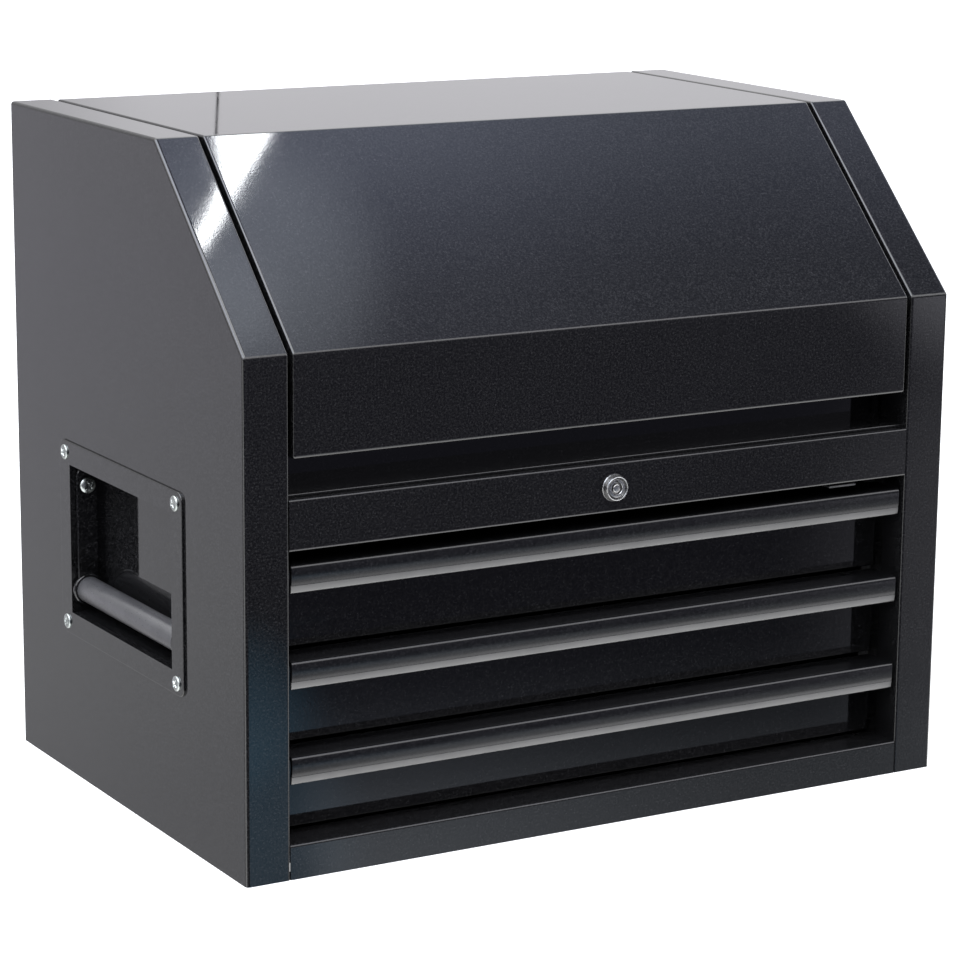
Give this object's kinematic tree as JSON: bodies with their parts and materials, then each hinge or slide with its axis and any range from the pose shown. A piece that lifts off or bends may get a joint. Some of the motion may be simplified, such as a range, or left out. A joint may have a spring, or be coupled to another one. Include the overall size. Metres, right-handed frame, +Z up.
{
  "type": "tool chest",
  "caption": "Slope-top steel tool chest with a back-hinged lid over a till, a front lock rail, full-width drawers on telescopic slides and recessed side grips.",
  "frame": {"origin": "middle of the flat base, on the surface it rests on", "axes": "+X to the chest's right seen from the front, +Y to the back, +Z up"},
  "size_m": [0.669, 0.4555, 0.565],
  "materials": {
    "black_paint": "gloss",
    "pull_black": "semi-gloss",
    "pull_trim": "satin",
    "zinc_slide": "zinc plated, satin",
    "zinc_fastener": "bright zinc plated",
    "zinc_hardware": "zinc plated, satin",
    "lock_chrome": "polished",
    "grip_tube": "semi-gloss",
    "strut_tube": "satin",
    "strut_stem": "polished",
    "bumper_rubber": "matte"
  },
  "bodies": {
    "cabinet": {"back_panel": "black_paint", "base_pan": "black_paint", "front_bottom_rail": "black_paint", "handle_pivot_bolts": "zinc_fastener", "handle_plate_left": "black_paint", "handle_plate_right": "black_paint", "handle_plate_screws": "zinc_fastener", "handle_pocket_left": "black_paint", "handle_pocket_right": "black_paint", "hinge_leaf_body": "black_paint", "hinge_pin": "zinc_hardware", "lid_bumpers": "bumper_rubber", "lock_bar_guide": "zinc_hardware", "lock_brackets": "zinc_hardware", "lock_housing": "lock_chrome", "lock_nut": "zinc_hardware", "lock_rail": "black_paint", "side_liner_left": "black_paint", "side_liner_right": "black_paint", "side_shell_left": "black_paint", "side_shell_right": "black_paint", "slide_outer_members": "zinc_slide", "strut_body_studs": "zinc_hardware", "till_floor": "black_paint", "till_front_panel": "black_paint"},
    "lid": {"lid_shell": "black_paint", "lid_stiffeners": "black_paint", "hinge_leaf_lid": "black_paint", "strut_lid_brackets": "zinc_hardware"},
    "bail_right": {"handle_arms_right": "black_paint", "handle_grip_right": "grip_tube"},
    "bail_left": {"handle_arms_left": "black_paint", "handle_grip_left": "grip_tube"},
    "strut_barrel_right": {"strut_cylinder_right": "strut_tube"},
    "strut_barrel_left": {"strut_cylinder_left": "strut_tube"},
    "strut_stem_right": {"strut_rod_right": "strut_stem"},
    "strut_stem_left": {"strut_rod_left": "strut_stem"},
    "lock_core": {"lock_plug": "lock_chrome", "lock_cam": "zinc_hardware"},
    "lock_bar": {"lock_cross_bar": "zinc_hardware"},
    "lock_crank": {"lock_bell_crank": "zinc_hardware"},
    "lock_rod": {"lock_side_rod": "zinc_hardware"},
    "drawer_1": {"drawer_front_1": "black_paint", "drawer_box_1": "black_paint", "drawer_pull_1": "pull_black", "pull_trim_1": "pull_trim", "slide_inner_members_1": "zinc_slide"},
    "slides_1": {"slide_middle_members_1": "zinc_slide"},
    "drawer_2": {"drawer_front_2": "black_paint", "drawer_box_2": "black_paint", "drawer_pull_2": "pull_black", "pull_trim_2": "pull_trim", "slide_inner_members_2": "zinc_slide"},
    "slides_2": {"slide_middle_members_2": "zinc_slide"},
    "drawer_3": {"drawer_front_3": "black_paint", "drawer_box_3": "black_paint", "drawer_pull_3": "pull_black", "pull_trim_3": "pull_trim", "slide_inner_members_3": "zinc_slide"},
    "slides_3": {"slide_middle_members_3": "zinc_slide"}
  },
  "joints": [
    {"name": "lid_hinge", "type": "hinge", "parent": "cabinet", "child": "lid", "pos_m": [0, 0.2246, 0.5455], "axis": [-1, 0, 0], "range_deg": [0, 80]},
    {"name": "strut_pivot_right", "type": "hinge", "parent": "cabinet", "child": "strut_barrel_right", "pos_m": [0.274, 0.17, 0.35], "axis": [-1, 0, 0], "range_deg": [0, 10.36]},
    {"name": "strut_slide_right", "type": "slide", "parent": "strut_barrel_right", "child": "strut_stem_right", "axis": [0, -0.084, 0.9965], "range_m": [0, 0.0836]},
    {"name": "strut_pivot_left", "type": "hinge", "parent": "cabinet", "child": "strut_barrel_left", "pos_m": [-0.274, 0.17, 0.35], "axis": [-1, 0, 0], "range_deg": [0, 10.36]},
    {"name": "strut_slide_left", "type": "slide", "parent": "strut_barrel_left", "child": "strut_stem_left", "axis": [0, -0.084, 0.9965], "range_m": [0, 0.0836]},
    {"name": "drawer_slide_1", "type": "slide", "parent": "cabinet", "child": "drawer_1", "axis": [0, -1, 0], "range_m": [0, 0.34]},
    {"name": "slide_middle_1", "type": "slide", "parent": "cabinet", "child": "slides_1", "axis": [0, -1, 0], "range_m": [0, 0.17]},
    {"name": "drawer_slide_2", "type": "slide", "parent": "cabinet", "child": "drawer_2", "axis": [0, -1, 0], "range_m": [0, 0.34]},
    {"name": "slide_middle_2", "type": "slide", "parent": "cabinet", "child": "slides_2", "axis": [0, -1, 0], "range_m": [0, 0.17]},
    {"name": "drawer_slide_3", "type": "slide", "parent": "cabinet", "child": "drawer_3", "axis": [0, -1, 0], "range_m": [0, 0.34]},
    {"name": "slide_middle_3", "type": "slide", "parent": "cabinet", "child": "slides_3", "axis": [0, -1, 0], "range_m": [0, 0.17]},
    {"name": "handle_swing_right", "type": "hinge", "parent": "cabinet", "child": "bail_right", "pos_m": [0.318, 0.0065, 0.2545], "axis": [0, -1, 0], "range_deg": [-2, 90]},
    {"name": "handle_swing_left", "type": "hinge", "parent": "cabinet", "child": "bail_left", "pos_m": [-0.318, 0.0065, 0.2545], "axis": [0, 1, 0], "range_deg": [-2, 90]},
    {"name": "lock_turn", "type": "hinge", "parent": "cabinet", "child": "lock_core", "pos_m": [0, -0.222, 0.284], "axis": [0, 1, 0], "range_deg": [0, 90]},
    {"name": "lock_bar_slide", "type": "slide", "parent": "cabinet", "child": "lock_bar", "axis": [-1, 0, 0], "range_m": [0, 0.01414]},
    {"name": "lock_crank_turn", "type": "hinge", "parent": "cabinet", "child": "lock_crank", "pos_m": [0.313, -0.1885, 0.27], "axis": [0, -1, 0], "range_deg": [0, 60.01]},
    {"name": "lock_rod_slide", "type": "slide", "parent": "cabinet", "child": "lock_rod", "axis": [0, 0, -1], "range_m": [0, 0.01414]}
  ],
  "couplings": [
    {"joint": "strut_pivot_right", "follows": "lid_hinge", "ratio": 0.12936},
    {"joint": "strut_slide_right", "follows": "lid_hinge", "m_per_rad": 0.05987},
    {"joint": "strut_pivot_left", "follows": "lid_hinge", "ratio": 0.12936},
    {"joint": "strut_slide_left", "follows": "lid_hinge", "m_per_rad": 0.05987},
    {"joint": "slide_middle_1", "follows": "drawer_slide_1", "ratio": 0.5},
    {"joint": "slide_middle_2", "follows": "drawer_slide_2", "ratio": 0.5},
    {"joint": "slide_middle_3", "follows": "drawer_slide_3", "ratio": 0.5},
    {"joint": "lock_turn", "follows": "lock_bar_slide", "rad_per_m": 111.07},
    {"joint": "lock_crank_turn", "follows": "lock_bar_slide", "rad_per_m": 74.046},
    {"joint": "lock_rod_slide", "follows": "lock_bar_slide", "ratio": 1}
  ]
}
